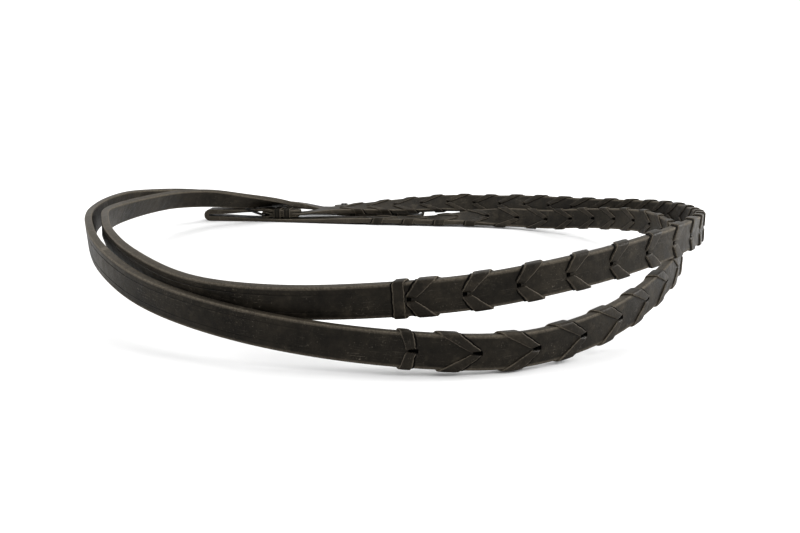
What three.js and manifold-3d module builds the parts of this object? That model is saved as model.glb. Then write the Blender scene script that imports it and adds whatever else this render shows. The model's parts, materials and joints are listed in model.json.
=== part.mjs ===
// A pair of laced leather reins, lying on edge in one doubled round loop.
// Two rein straps, each with a flat lace woven through a row of slots, meet at
// the hand end in a small buckle; each bit end turns back over a hook stud.
// Units are millimetres, +Z is up, and the origin is on the floor under the
// middle of the coiled pair.
import * as THREE from 'three';
import { mergeVertices } from 'three/addons/utils/BufferGeometryUtils.js';
import Module from 'manifold-3d';

const wasm = await Module();
wasm.setup();

// ---- driving dimensions -------------------------------------------------
const STRAP_W = 16;          // rein width
const STRAP_T = 4.2;         // rein thickness
const BIT_T = 2.4;           // rein thickness where it is pared for the billet
const HAND_T = 2.6;          // thickness of the folded hand end
const TIP_T = 2.4;           // thickness of the pointed tip
const CHAPE_T = 1.6;         // thickness of the turned-back end at the buckle
const GAP = 0.3;             // clearance between pieces that touch
const LACE_T = 0.84;         // lace thickness
const LACE_GAP = 0.46;       // clearance between a lace and its strap
const SLOT_S = 2.7;          // half length of a lace slot, along the strap
const SLOT_W = 2.1;          // half width of a lace slot
const NEAR_FIRST = 753;      // first slot of the near rein, from its bit end
const NEAR_PITCH = 27.9;     // distance between its slots
const NEAR_SLOTS = 24;
const FAR_FIRST = 704.5;     // first slot of the far rein, from its bit end
const FAR_PITCH = 24.7;
const FAR_SLOTS = 29;
const NEAR_TWIST = [1195, 1350];  // where each rein turns from edge to flat
const FAR_TWIST = [1240, 1415];
const STATION = 8.7;         // longest facet along a strap

// Route of each rein from its bit end: x, y, z of the strap's middle line and
// the lean of its top edge away from the middle of the loop, in degrees.
const NEAR_ROUTE = [
  [12.9, 233.6, 4.9, -90], [-22.1, 234.6, 4.9, -90], [-57.1, 234.1, 5.6, -88],
  [-89.1, 230.6, 7.8, -80], [-124.1, 216.1, 13.5, -62], [-157.1, 197.1, 20.8, -47],
  [-184.1, 171.6, 25, -29], [-202.1, 134.1, 28.5, -15], [-208.1, 90.1, 32, -8],
  [-206.6, 39.1, 33.5, -2], [-197.1, -13.9, 35, 2], [-182.1, -63.9, 38, 4],
  [-165.1, -111.9, 39.5, 4], [-143.1, -159.4, 36, 4], [-113.1, -194.4, 27.5, 4],
  [-73.1, -218.9, 20.5, 3], [-27.1, -232.4, 14.5, 1], [22.9, -239.9, 11.2, 0],
  [65.9, -233.4, 9.4, 0], [102.9, -210.4, 12, 0], [131.9, -181.9, 17.5, 0],
  [155.9, -148.9, 24, 0], [172.9, -113.4, 26.5, 0], [184.9, -73.4, 28, 0],
  [192.9, -28.9, 28, 0], [191.9, 16.1, 27, 0], [181.9, 56.1, 23, 0],
  [163.4, 98.1, 17, 0], [139.9, 130.6, 11, 4], [110.9, 148.6, 9.8, 20],
  [77.9, 160.6, 7.8, 58], [37.9, 167.6, 4.6, 84], [-7.1, 174.1, 4, 90],
  [-49.1, 181.1, 2.9, 90], [-87.1, 188.6, 1.7, 90], [-113.1, 193.6, 1.6, 90],
];
const FAR_ROUTE = [
  [22.9, 214.6, 4.9, -90], [-7.1, 215.1, 4.9, -90], [-37.1, 215.1, 5.5, -90],
  [-62.1, 214.1, 8.3, -90], [-79.1, 212.4, 11.8, -88], [-93.1, 206, 14.3, -85],
  [-108.1, 194.2, 17.2, -66], [-130.1, 177.2, 20.6, -43], [-155.1, 155.1, 26, -24],
  [-174.1, 123.1, 29.4, -27], [-181.1, 83.1, 32, -28], [-185.6, 38.1, 34, -25],
  [-185.1, -8.9, 36, -19], [-176.1, -53.9, 38.5, -6], [-160.8, -96.9, 40.2, 3],
  [-145.1, -134.9, 39.8, 10], [-121.1, -173.7, 35.9, 14], [-86.4, -206.2, 29.9, 14],
  [-44.9, -223.8, 29, 13], [-2.9, -228.5, 30.5, 6], [44.3, -227.1, 34.1, 0],
  [86.5, -215.9, 39.5, 0], [121.5, -197, 43.8, 0], [148.1, -173.9, 46.6, 0],
  [169.9, -142.9, 46.5, 0], [188.9, -100.9, 43, 0], [201.9, -53.9, 38.5, 0],
  [207.9, -8.9, 35.5, 0], [203.4, 42.1, 31, 0], [187.4, 83.1, 26.5, 0],
  [161.9, 119.1, 23, 2], [130.9, 151.1, 21, 6], [96.9, 173.1, 18.3, 18],
  [57.9, 185.6, 17.5, 38], [17.9, 190.6, 14.3, 52], [-27.1, 192.3, 11.4, 77],
  [-57.1, 192.4, 9.5, 88],
];

// The hand-end joint lies along one straight line: JOIN is the outside of the
// fold, x runs along the line to the right, y across it and z up.
const JOIN = new THREE.Vector3(-169.1, 198.8, 0);
const JOIN_TURN = -4;        // degrees about z
const FOLD_R = 3.15;          // middle line radius of the folded hand end
const BAR_X = 57;            // buckle bar, along the joint line
const BAR_Z = 6.3;
const BAR_R = 1.2;
const FRAME_X = 40;          // far bar of the buckle frame
const FRAME_Z = 12.1;
const WIRE_R = 1.1;
const FRAME_Y = 9.9;         // half spacing of the frame's side bars
const PRONG_R = 0.9;
const WRAP_R = BAR_R + GAP + CHAPE_T / 2;const HAND_PATH = [          // near rein, x and z along the joint line
  [43, 1.7], [32, 1.85], [20, 2.2], [12, 2.25], [5.2, 2.25],
];
const TIP_PATH = [
  [5.2, 8.55], [14, 8.55], [24, 8.7], [32, 9.1], [40, 9.5], [47, 9.9], [52, 10.5],
  [57, 10.9], [61, 10.5], [66, 9.6], [70, 9.5], [80, 9.5], [90, 9.5],
];

const CHAPE_PATH = [
  [100, 8.4], [92, 7.1], [84, 7], [74, 7], [66, 7], [63, 7.2], [60, 8],
  [57, BAR_Z + WRAP_R],
];
const TURN_PATH = [[57, BAR_Z - WRAP_R], [60, 4.4], [64, 5.1], [76, 5.1], [88, 5.1]];

// Bit end, measured along the strap from its pared end and out from its face.
const BILLET_T = 2;
const BILLET_W = 15;
const BILLET_N = BIT_T / 2 + GAP + BILLET_T / 2;
const BILLET_PATH = [
  [70, -BILLET_N], [40, -BILLET_N], [8, -BILLET_N], [0, -2.7], [-5, -3.3],
  [-9, -3.4], [-11.4, -2.4], [-12.4, 0], [-11.4, 2.4], [-9, 3.4], [-5, 3.3],
  [0, 2.7], [8, BILLET_N], [40, BILLET_N], [64, BILLET_N],
];
const STUD_S = 38;
const STUD_R = 1.2;
const BIT_KEEPERS = [15, 55];
const KEEPER_T = 0.8;
const KEEPER_LEN = 6;

// ---- materials -----------------------------------------------------------
const leather = () => new THREE.MeshStandardMaterial({
  color: 0x241d18, roughness: 0.62, metalness: 0,
});
const laceLeather = () => new THREE.MeshStandardMaterial({
  color: 0x2b241f, roughness: 0.7, metalness: 0,
});
const metal = () => new THREE.MeshStandardMaterial({
  color: 0xb9bcbe, roughness: 0.28, metalness: 1,
});

// ---- solids --------------------------------------------------------------
// Closed geometry in, solid out.
function solid(geometry) {
  const g = geometry.index ? geometry.clone() : mergeVertices(geometry.clone());
  g.deleteAttribute('normal');
  g.deleteAttribute('uv');
  const m = mergeVertices(g, 1e-4);
  const made = new wasm.Manifold(new wasm.Mesh({
    numProp: 3,
    vertProperties: new Float32Array(m.attributes.position.array),
    triVerts: new Uint32Array(m.index.array),
  }));
  return made;
}

// Solid in, geometry out.
function geometryOf(manifold) {
  const mesh = manifold.getMesh();
  const g = new THREE.BufferGeometry();
  const xyz = new Float32Array(mesh.numVert * 3);
  for (let i = 0; i < mesh.numVert; i += 1) {
    for (let k = 0; k < 3; k += 1) {
      xyz[3 * i + k] = mesh.vertProperties[mesh.numProp * i + k];
    }
  }
  g.setAttribute('position', new THREE.BufferAttribute(xyz, 3));
  g.setIndex(new THREE.BufferAttribute(new Uint32Array(mesh.triVerts), 1));
  g.computeVertexNormals();
  return g;
}

// Moves every vertex of a geometry by a rule.
function mapped(geometry, rule) {
  geometry.deleteAttribute('normal');
  geometry.deleteAttribute('uv');
  const g = mergeVertices(geometry, 1e-4);
  const at = g.attributes.position;
  for (let i = 0; i < at.count; i += 1) {
    const p = rule(at.getX(i), at.getY(i), at.getZ(i));
    at.setXYZ(i, p.x, p.y, p.z);
  }
  g.computeVertexNormals();
  return g;
}

// Turns the faces the other way round when they point inwards.
function outward(geometry) {
  const at = geometry.attributes.position;
  const ix = geometry.index.array;
  const a = new THREE.Vector3();
  const b = new THREE.Vector3();
  const c = new THREE.Vector3();
  let six = 0;
  for (let i = 0; i < ix.length; i += 3) {
    a.fromBufferAttribute(at, ix[i]);
    b.fromBufferAttribute(at, ix[i + 1]);
    c.fromBufferAttribute(at, ix[i + 2]);
    six += a.dot(b.cross(c));
  }
  if (six < 0) {
    for (let i = 0; i < ix.length; i += 3) {
      const keep = ix[i + 1];
      ix[i + 1] = ix[i + 2];
      ix[i + 2] = keep;
    }
  }
  geometry.computeVertexNormals();
  return geometry;
}

// ---- frames along a strap ------------------------------------------------
const turn = THREE.MathUtils.degToRad(JOIN_TURN);
const ALONG = new THREE.Vector3(Math.cos(turn), Math.sin(turn), 0);
const ACROSS = new THREE.Vector3(-Math.sin(turn), Math.cos(turn), 0);
const UP = new THREE.Vector3(0, 0, 1);

// A point given along, across and above the joint line.
function onJoin(x, y, z) {
  return JOIN.clone().addScaledVector(ALONG, x).addScaledVector(ACROSS, y)
    .addScaledVector(UP, z);
}

function arc(cx, cz, radius, from, to, parts) {
  const out = [];
  for (let i = 1; i < parts; i += 1) {
    const a = THREE.MathUtils.degToRad(from + (to - from) * i / parts);
    out.push([cx + radius * Math.cos(a), cz + radius * Math.sin(a)]);
  }
  return out;
}

// Frames every millimetre or so: p is on the middle line, t runs along the
// strap, w is across its width and n is out of its outer face.
function framesOf(route, tail) {
  const path = new THREE.CatmullRomCurve3(
    route.map((r) => new THREE.Vector3(r[0], r[1], r[2])), false, 'catmullrom', 0.5,
  );
  const lean = new THREE.CatmullRomCurve3(
    route.map((r) => new THREE.Vector3(r[3], 0, 0)), false, 'catmullrom', 0.5,
  );
  const end = new THREE.CatmullRomCurve3(
    tail.map((r) => onJoin(r[0], 0, r[1])), false, 'catmullrom', 0.5,
  );
  const count = (route.length - 1) * 24;
  const list = [];
  for (let i = 0; i <= count; i += 1) {
    list.push({ p: path.getPoint(i / count), lean: lean.getPoint(i / count).x });
  }
  const more = (tail.length - 1) * 8;
  for (let i = 0; i <= more; i += 1) {
    list.push({ p: end.getPoint(i / more), lean: null });
  }
  list[0].s = 0;
  for (let i = 1; i < list.length; i += 1) {
    list[i].s = list[i - 1].s + list[i].p.distanceTo(list[i - 1].p);
  }
  list.joinAt = list[count].s;
  for (let i = 0; i < list.length; i += 1) {
    const f = list[i];
    f.t = list[Math.min(i + 1, list.length - 1)].p.clone()
      .sub(list[Math.max(i - 1, 0)].p).normalize();
    if (f.lean === null) {
      f.w = ACROSS.clone();
    } else {
      const out = new THREE.Vector3(f.t.y, -f.t.x, 0).normalize();
      const up = new THREE.Vector3().crossVectors(out, f.t).normalize();
      const a = THREE.MathUtils.degToRad(f.lean);
      f.w = up.multiplyScalar(Math.cos(a)).addScaledVector(out, Math.sin(a));
    }
    f.w.addScaledVector(f.t, -f.w.dot(f.t)).normalize();
    f.n = new THREE.Vector3().crossVectors(f.t, f.w);
  }
  return list;
}

// A point at distance s along a strap, w across it and n out of it.
function onStrap(frames, s, w, n) {
  let lo = 0;
  let hi = frames.length - 1;
  while (hi - lo > 1) {
    const mid = (lo + hi) >> 1;
    if (frames[mid].s <= s) lo = mid; else hi = mid;
  }
  const a = frames[lo];
  const b = frames[hi];
  const k = THREE.MathUtils.clamp((s - a.s) / Math.max(b.s - a.s, 1e-9), 0, 1);
  const beyond = s < 0 ? s : Math.max(0, s - frames[frames.length - 1].s);
  const p = a.p.clone().lerp(b.p, k);
  const acrossW = a.w.clone().lerp(b.w, k).normalize();
  const outN = a.n.clone().lerp(b.n, k).normalize();
  return p.addScaledVector(a.t, beyond).addScaledVector(acrossW, w)
    .addScaledVector(outN, n);
}

// Straight-line table look-up: [[s, value], ...].
function look(table, s) {
  if (s <= table[0][0]) return table[0][1];
  for (let i = 1; i < table.length; i += 1) {
    if (s <= table[i][0]) {
      const [s0, v0] = table[i - 1];
      const [s1, v1] = table[i];
      return v0 + (v1 - v0) * (s - s0) / (s1 - s0);
    }
  }
  return table[table.length - 1][1];
}

// A strip of leather: stations lists where its facets meet, width and thick are
// look-up tables and rule places (s, w, n) in space.
function strip(stations, width, thick, rule) {
  const count = stations.length - 1;
  const g = new THREE.BoxGeometry(1, 1, count, 1, 1, count);
  return outward(mapped(g, (x, y, z) => {
    const s = stations[Math.round(z + count / 2)];
    return rule(s, x * look(width, s), y * look(thick, s));
  }));
}

function stationsOf(from, to, step) {
  const count = Math.ceil((to - from) / step);
  return Array.from({ length: count + 1 }, (_, i) => from + (to - from) * i / count);
}

// Facets of the laced length: each slot sits inside one facet, and the facets
// between slots are halved where the strap twists.
function lacedStations(first, pitch, slots, twist) {
  const out = [];
  for (let i = 0; i < slots; i += 1) {
    const s = first + i * pitch;
    const fine = s > twist[0] && s < twist[1];
    out.push(s - pitch / 2);
    if (fine) out.push(s - pitch / 3);
    out.push(s - pitch / 6, s + pitch / 6);
    if (fine) out.push(s + pitch / 3);
  }
  return out;
}

// ---- the two straps --------------------------------------------------------
const nearTail = [
  ...HAND_PATH, ...arc(5.2, 2.25 + FOLD_R, FOLD_R, 270, 90, 8), ...TIP_PATH,
];
const farTail = [
  ...CHAPE_PATH, ...arc(BAR_X, BAR_Z, WRAP_R, 90, 270, 6), ...TURN_PATH,
];
const near = framesOf(NEAR_ROUTE, nearTail);
const far = framesOf(FAR_ROUTE, farTail);
const nearEnd = near[near.length - 1].s;
const farEnd = far[far.length - 1].s;

const nearThick = [
  [78, BIT_T], [110, STRAP_T], [near.joinAt - 76, STRAP_T],
  [near.joinAt - 45, HAND_T], [near.joinAt + 8, HAND_T], [near.joinAt + 36, STRAP_T],
  [nearEnd - 75, STRAP_T], [nearEnd - 53, TIP_T],
];
const nearWidth = [
  [nearEnd - 11, STRAP_W], [nearEnd - 5, 12.4], [nearEnd - 1.5, 7], [nearEnd, 4],
];
const farThick = [
  [78, BIT_T], [110, STRAP_T], [far.joinAt - 8, STRAP_T], [far.joinAt + 13, CHAPE_T],
];
const farWidth = [[farEnd, STRAP_W - 0.4]];

// A block across the strap, given by its reach along and across it.
function slotTool(frames, s, halfS, w, halfW, halfN) {
  const box = new THREE.BoxGeometry(2 * halfS, 2 * halfW, 2 * halfN);
  return solid(outward(mapped(box, (x, y, z) => onStrap(frames, s + x, w + y, z))));
}

// A round punch through the strap.
function punch(frames, s, radius, halfN, n = 0) {
  const rod = new THREE.CylinderGeometry(radius, radius, 2 * halfN, 12);
  return solid(outward(mapped(rod, (x, y, z) => onStrap(frames, s + x, z, n + y))));
}

// A block placed on the joint line.
function joinBox(x0, x1, halfY, z0, z1) {
  const box = new THREE.BoxGeometry(x1 - x0, 2 * halfY, z1 - z0);
  return solid(outward(mapped(box, (x, y, z) => onJoin(
    (x0 + x1) / 2 + x, y, (z0 + z1) / 2 + z,
  ))));
}

function nearStrap() {
  const fold = nearEnd - 90 - 4;
  const lastSlot = NEAR_FIRST + (NEAR_SLOTS - 1) * NEAR_PITCH;
  const stations = [
    ...stationsOf(0, NEAR_FIRST - NEAR_PITCH / 2, STATION).slice(0, -1),
    ...lacedStations(NEAR_FIRST, NEAR_PITCH, NEAR_SLOTS, NEAR_TWIST),
    ...stationsOf(lastSlot + NEAR_PITCH / 2, fold - 16, STATION),
    ...stationsOf(fold - 16, fold + 8, 1.7).slice(1),
    ...stationsOf(fold + 8, nearEnd - 55, 9).slice(1),
    ...stationsOf(nearEnd - 55, nearEnd - 20, 4).slice(1),
    ...stationsOf(nearEnd - 20, nearEnd - 11, 9).slice(1),
    nearEnd - 5, nearEnd - 1.5, nearEnd,
  ];
  const g = strip(stations, nearWidth, nearThick, (s, w, n) => onStrap(near, s, w, n));
  let body = solid(g);
  for (let i = 0; i < NEAR_SLOTS; i += 1) {
    const s = NEAR_FIRST + i * NEAR_PITCH;
    body = body.subtract(slotTool(near, s, SLOT_S, 0, SLOT_W, 4));
  }
  body = body.subtract(punch(near, STUD_S, STUD_R + GAP, 3));
  body = body.subtract(joinBox(45, 56.6, 1.4, 7.4, 13.4));
  for (const x of [27, 73]) {
    const rod = new THREE.CylinderGeometry(1.6, 1.6, 5, 12);
    body = body.subtract(solid(outward(mapped(rod, (a, b, c) => onJoin(x + a, c, 9.5 + b)))));
  }
  return geometryOf(body);
}

function farStrap() {
  const wrap = farEnd - 31;
  const lastSlot = FAR_FIRST + (FAR_SLOTS - 1) * FAR_PITCH;
  const stations = [
    ...stationsOf(0, FAR_FIRST - FAR_PITCH / 2, STATION).slice(0, -1),
    ...lacedStations(FAR_FIRST, FAR_PITCH, FAR_SLOTS, FAR_TWIST),
    ...stationsOf(lastSlot + FAR_PITCH / 2, wrap - 14, STATION / 2),
    ...stationsOf(wrap - 14, wrap + 8, 1.5).slice(1),
    ...stationsOf(wrap + 8, farEnd, 8).slice(1),
  ];
  const g = strip(stations, farWidth, farThick, (s, w, n) => onStrap(far, s, w, n));
  let body = solid(g);
  for (let i = 0; i < FAR_SLOTS; i += 1) {
    const s = FAR_FIRST + i * FAR_PITCH;
    body = body.subtract(slotTool(far, s, SLOT_S, 0, SLOT_W, 4));
  }
  body = body.subtract(punch(far, STUD_S, STUD_R + GAP, 3));
  body = body.subtract(joinBox(52, 61.5, 1.5, 2.6, 10));
  return geometryOf(body);
}

// ---- the laces -------------------------------------------------------------
// Each ring of a lace has two borders, p and q, and an outward thickness o, all
// in strap terms: s along, w across, n out. side is +1 for the half that goes
// over the top edge and -1 for the half that goes under the bottom edge.
const FACE = STRAP_T / 2 + LACE_GAP + LACE_T / 2;
const EDGE = STRAP_W / 2 + LACE_GAP + LACE_T / 2;
const HALF = LACE_T / 2;

function ring(p, q, o) {
  return { p, q, o };
}

// Through a slot, from the outer face to the inner face.
function throughSlot(s, side) {
  return [
    ring([s - 2.2, 1.05 * side, 1.9], [s + 2.2, 1.05 * side, 1.9], [0, -0.35 * side, 0.2]),
    ring([s - 2.2, 1.05 * side, -1.9], [s + 2.2, 1.05 * side, -1.9], [0, -0.35 * side, -0.2]),
  ];
}

// Where a lace crosses the strap's edge, from one slot: its two borders on the
// inner face and on the outer face.
const NEAR_CROSS = [9.5, 18.6, 11.9, 20.8];
const FAR_CROSS = [2.7, 11.2, 5.2, 13.6];

// From one slot, out over the edge and back to the next slot.
function overEdge(s, side, pitch, cross) {
  const [a, b, c, d] = cross.map((v) => s + v);
  const next = s + pitch;
  return [
    ring([s - 1.6, 1.9 * side, -FACE], [s + 2.4, 0.45 * side, -FACE], [0, 0, -HALF]),
    ring([a, 8 * side, -FACE], [b, 8 * side, -FACE], [0, 0.2 * side, -HALF]),
    ring([a + 0.4, EDGE * side, -2.3], [b + 0.4, EDGE * side, -2.3], [0, HALF * side, -0.2]),
    ring([c - 0.4, EDGE * side, 2.3], [d - 0.4, EDGE * side, 2.3], [0, HALF * side, 0.2]),
    ring([c, 8 * side, FACE], [d, 8 * side, FACE], [0, 0.2 * side, HALF]),
    ring([(c + next - 2.4) / 2, 4.22 * side, FACE], [(d + next + 1.6) / 2, 4.95 * side, FACE],
      [0, 0, HALF]),
    ring([next - 2.4, 0.45 * side, FACE], [next + 1.6, 1.9 * side, FACE], [0, 0, HALF]),
  ];
}

// From the starting band over the edge to the first slot.
function leadIn(s, side) {
  return [
    ring([s - 7.6, 8 * side, -FACE], [s - 2.6, 8 * side, -FACE], [0, 0.2 * side, -HALF]),
    ring([s - 7.4, EDGE * side, -2.3], [s - 2.4, EDGE * side, -2.3], [0, HALF * side, -0.2]),
    ring([s - 5.4, EDGE * side, 2.3], [s - 0.2, EDGE * side, 2.3], [0, HALF * side, 0.2]),
    ring([s - 5.2, 8 * side, FACE], [s + 0.2, 8 * side, FACE], [0, 0.2 * side, HALF]),
    ring([s - 2.4, 0.45 * side, FACE], [s + 1.6, 1.9 * side, FACE], [0, 0, HALF]),
  ];
}

function halfLace(first, pitch, slots, side, cross) {
  const out = [...leadIn(first, side)];
  for (let i = 0; i < slots - 1; i += 1) {
    const s = first + i * pitch;
    out.push(...throughSlot(s, side), ...overEdge(s, side, pitch, cross));
  }
  const last = first + (slots - 1) * pitch;
  out.push(throughSlot(last, side)[0]);
  out.push(ring([last - 2.2, 1.05 * side, -1], [last + 2.2, 1.05 * side, -1],
    [0, -0.35 * side, 0]));
  return out;
}

// The far rein is turned over, so its lace starts on the other face: flip is -1.
function lace(frames, first, pitch, slots, cross, flip) {
  const upper = halfLace(first, pitch, slots, 1, cross).reverse();
  const lower = halfLace(first, pitch, slots, -1, cross);
  const middle = ring([first - 7.6, 0, -FACE], [first - 2.6, 0, -FACE], [0, 0, -HALF]);
  const rings = [...upper, middle, ...lower];
  const count = rings.length - 1;
  const box = new THREE.BoxGeometry(2, 2, count, 1, 1, count);
  return outward(mapped(box, (x, y, z) => {
    const r = rings[Math.round(z + count / 2)];
    const b = x < 0 ? r.p : r.q;
    const k = y < 0 ? -1 : 1;
    return onStrap(frames, b[0] + k * r.o[0], b[1] + k * r.o[1], flip * (b[2] + k * r.o[2]));
  }));
}

// ---- the bit ends ----------------------------------------------------------
function billet(frames) {
  const curve = new THREE.CatmullRomCurve3(
    BILLET_PATH.map((b) => new THREE.Vector3(b[0], b[1], 0)), false, 'catmullrom', 0.5,
  );
  const total = curve.getLength();
  const stations = [
    ...stationsOf(0, 62, 15.5), ...stationsOf(62, 100, 1.9).slice(1),
    ...stationsOf(100, total - 9, 12).slice(1), total - 4, total - 1.2, total,
  ];
  const width = [
    [total - 9, BILLET_W], [total - 4, 11.4], [total - 1.2, 6.6], [total, 4],
  ];
  const g = strip(stations, width, [[0, BILLET_T]], (s, w, n) => {
    const u = THREE.MathUtils.clamp(s / total, 0, 1);
    const at = curve.getPointAt(u);
    const t = curve.getTangentAt(u);
    return onStrap(frames, at.x - t.y * n, w, at.y + t.x * n);
  });
  const low = punch(frames, STUD_S, STUD_R + GAP, 2, -BILLET_N);
  const high = punch(frames, STUD_S, STUD_R + GAP, 2, BILLET_N);
  const slit = new THREE.BoxGeometry(7, 1, 4);
  const cut = solid(outward(mapped(slit, (x, y, z) => onStrap(
    frames, STUD_S + 3.5 + x, y, BILLET_N + z,
  ))));
  return geometryOf(solid(g).subtract(low).subtract(high).subtract(cut));
}

function hookStud(frames) {
  const base = -BILLET_N - BILLET_T / 2 - GAP;
  const top = BILLET_N + BILLET_T / 2 + GAP;
  const profile = [
    [0, base - 0.6], [3.4, base - 0.6], [3.4, base], [STUD_R, base], [STUD_R, top],
    [2.6, top], [2.9, top + 0.5], [2.5, top + 1.1], [1.4, top + 1.5], [0, top + 1.6],
  ];
  const g = new THREE.LatheGeometry(profile.map((q) => new THREE.Vector2(q[0], q[1])), 16);
  return outward(mapped(g, (x, y, z) => onStrap(frames, STUD_S + x, z, y)));
}

// A closed band of leather, as a shape across the strap: half width and the
// lowest and highest point of what it holds.
function keeperShape(halfW, low, high) {
  const outline = (path, hw, lo, hi, r) => {
    path.moveTo(-hw + r, lo);
    path.lineTo(hw - r, lo);
    path.quadraticCurveTo(hw, lo, hw, lo + r);
    path.lineTo(hw, hi - r);
    path.quadraticCurveTo(hw, hi, hw - r, hi);
    path.lineTo(-hw + r, hi);
    path.quadraticCurveTo(-hw, hi, -hw, hi - r);
    path.lineTo(-hw, lo + r);
    path.quadraticCurveTo(-hw, lo, -hw + r, lo);
    return path;
  };
  const shape = outline(new THREE.Shape(), halfW + KEEPER_T, low - KEEPER_T,
    high + KEEPER_T, 1.5);
  shape.holes.push(outline(new THREE.Path(), halfW, low, high, 0.5));
  return shape;
}

function bitKeeper(frames, s) {
  const reach = BILLET_N + BILLET_T / 2 + GAP;
  const shape = keeperShape(STRAP_W / 2 + GAP, -reach, reach);
  const g = new THREE.ExtrudeGeometry(shape, {
    depth: KEEPER_LEN, bevelEnabled: false, curveSegments: 3,
  });
  return outward(mapped(g, (x, y, z) => onStrap(frames, s - KEEPER_LEN / 2 + z, x, y)));
}

// ---- the hand-end buckle -----------------------------------------------------
function handKeeper(x0) {
  const shape = keeperShape(STRAP_W / 2 + GAP, 4, 11);
  const g = new THREE.ExtrudeGeometry(shape, {
    depth: KEEPER_LEN, bevelEnabled: false, curveSegments: 3,
  });
  return outward(mapped(g, (x, y, z) => onJoin(x0 + z, x, y)));
}

// A round bar between two points of the joint frame.
function rod(from, to, radius, sides = 8) {
  const a = new THREE.Vector3(...from);
  const b = new THREE.Vector3(...to);
  const g = new THREE.CylinderGeometry(radius, radius, a.distanceTo(b), sides);
  const q = new THREE.Quaternion().setFromUnitVectors(
    new THREE.Vector3(0, 1, 0), b.clone().sub(a).normalize(),
  );
  const mid = a.clone().add(b).multiplyScalar(0.5);
  return solid(outward(mapped(g, (x, y, z) => {
    const v = new THREE.Vector3(x, y, z).applyQuaternion(q).add(mid);
    return onJoin(v.x, v.y, v.z);
  })));
}

function ball(centre, radius) {
  const g = new THREE.SphereGeometry(radius, 8, 5);
  return solid(outward(mapped(g, (x, y, z) => onJoin(
    centre[0] + x, centre[1] + y, centre[2] + z,
  ))));
}

function buckleFrame() {
  const y = FRAME_Y;
  let body = rod([BAR_X, -y, BAR_Z], [BAR_X, y, BAR_Z], BAR_R);
  body = body.add(rod([FRAME_X, -y + 1, FRAME_Z], [FRAME_X, y - 1, FRAME_Z], WIRE_R));
  for (const k of [-1, 1]) {
    body = body.add(rod([BAR_X, k * y, BAR_Z], [FRAME_X + 1.2, k * y, FRAME_Z - 0.4], WIRE_R));
    body = body.add(rod([FRAME_X + 1.2, k * y, FRAME_Z - 0.4],
      [FRAME_X, k * (y - 1), FRAME_Z], WIRE_R));
    body = body.add(ball([BAR_X, k * y, BAR_Z], BAR_R + 0.1));
    body = body.add(ball([FRAME_X + 1.2, k * y, FRAME_Z - 0.4], WIRE_R));
    body = body.add(ball([FRAME_X, k * (y - 1), FRAME_Z], WIRE_R));
  }
  return geometryOf(body);
}

function buckleProng() {
  const torus = new THREE.TorusGeometry(2.25, 0.78, 6, 12);
  const eye = solid(outward(mapped(torus, (x, y, z) => onJoin(BAR_X + x, z, BAR_Z + y))));
  const stem = rod([BAR_X - 1.6, 0, BAR_Z + 1.9], [FRAME_X - 1.2, 0, 15.2], PRONG_R, 8);
  const tip = ball([FRAME_X - 1.2, 0, 15.2], PRONG_R);
  const bore = rod([BAR_X, -4, BAR_Z], [BAR_X, 4, BAR_Z], BAR_R + 0.25, 12);
  return geometryOf(eye.add(stem).add(tip).subtract(bore));
}

// ---- the object ---------------------------------------------------------------
const reins = new THREE.Group();

function piece(name, geometry, material) {
  const mesh = new THREE.Mesh(geometry, material);
  mesh.name = name;
  reins.add(mesh);
}

piece('near_rein_strap', nearStrap(), leather());
piece('far_rein_strap', farStrap(), leather());
piece('near_rein_lace', lace(near, NEAR_FIRST, NEAR_PITCH, NEAR_SLOTS, NEAR_CROSS, 1),
  laceLeather());
piece('far_rein_lace', lace(far, FAR_FIRST, FAR_PITCH, FAR_SLOTS, FAR_CROSS, -1),
  laceLeather());
piece('near_bit_billet', billet(near), leather());
piece('far_bit_billet', billet(far), leather());
piece('near_hook_stud', hookStud(near), metal());
piece('far_hook_stud', hookStud(far), metal());
piece('near_bit_keeper_front', bitKeeper(near, BIT_KEEPERS[0]), leather());
piece('near_bit_keeper_back', bitKeeper(near, BIT_KEEPERS[1]), leather());
piece('far_bit_keeper_front', bitKeeper(far, BIT_KEEPERS[0]), leather());
piece('far_bit_keeper_back', bitKeeper(far, BIT_KEEPERS[1]), leather());
piece('hand_buckle_frame', buckleFrame(), metal());
piece('hand_buckle_prong', buckleProng(), metal());
piece('hand_keeper_fixed', handKeeper(66), leather());
piece('hand_keeper_running', handKeeper(75), leather());

export default reins;
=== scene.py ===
"""Laced leather reins, lying on edge in a doubled round loop on a pale floor.

Both straps, their laces, the bit ends and the hand buckle are rebuilt in fine
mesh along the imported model's routes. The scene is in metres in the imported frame;
sizes given in millimetres are turned into metres with MM.
"""
import json
import math

import bmesh
import bpy
import numpy as np
from mathutils import Matrix


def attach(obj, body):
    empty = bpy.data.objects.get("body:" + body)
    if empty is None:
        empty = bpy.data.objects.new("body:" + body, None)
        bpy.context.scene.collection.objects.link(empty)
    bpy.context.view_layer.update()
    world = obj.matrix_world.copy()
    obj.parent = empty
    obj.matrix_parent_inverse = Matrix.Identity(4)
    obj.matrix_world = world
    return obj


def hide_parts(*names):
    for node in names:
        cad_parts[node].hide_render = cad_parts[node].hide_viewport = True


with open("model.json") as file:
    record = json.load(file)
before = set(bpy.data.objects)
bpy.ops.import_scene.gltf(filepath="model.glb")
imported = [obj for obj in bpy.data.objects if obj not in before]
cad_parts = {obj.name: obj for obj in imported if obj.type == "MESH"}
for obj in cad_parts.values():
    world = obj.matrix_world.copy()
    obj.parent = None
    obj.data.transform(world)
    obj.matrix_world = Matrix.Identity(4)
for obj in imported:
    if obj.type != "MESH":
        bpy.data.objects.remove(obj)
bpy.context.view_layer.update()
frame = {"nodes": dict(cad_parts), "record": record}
MM = 0.001

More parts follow.
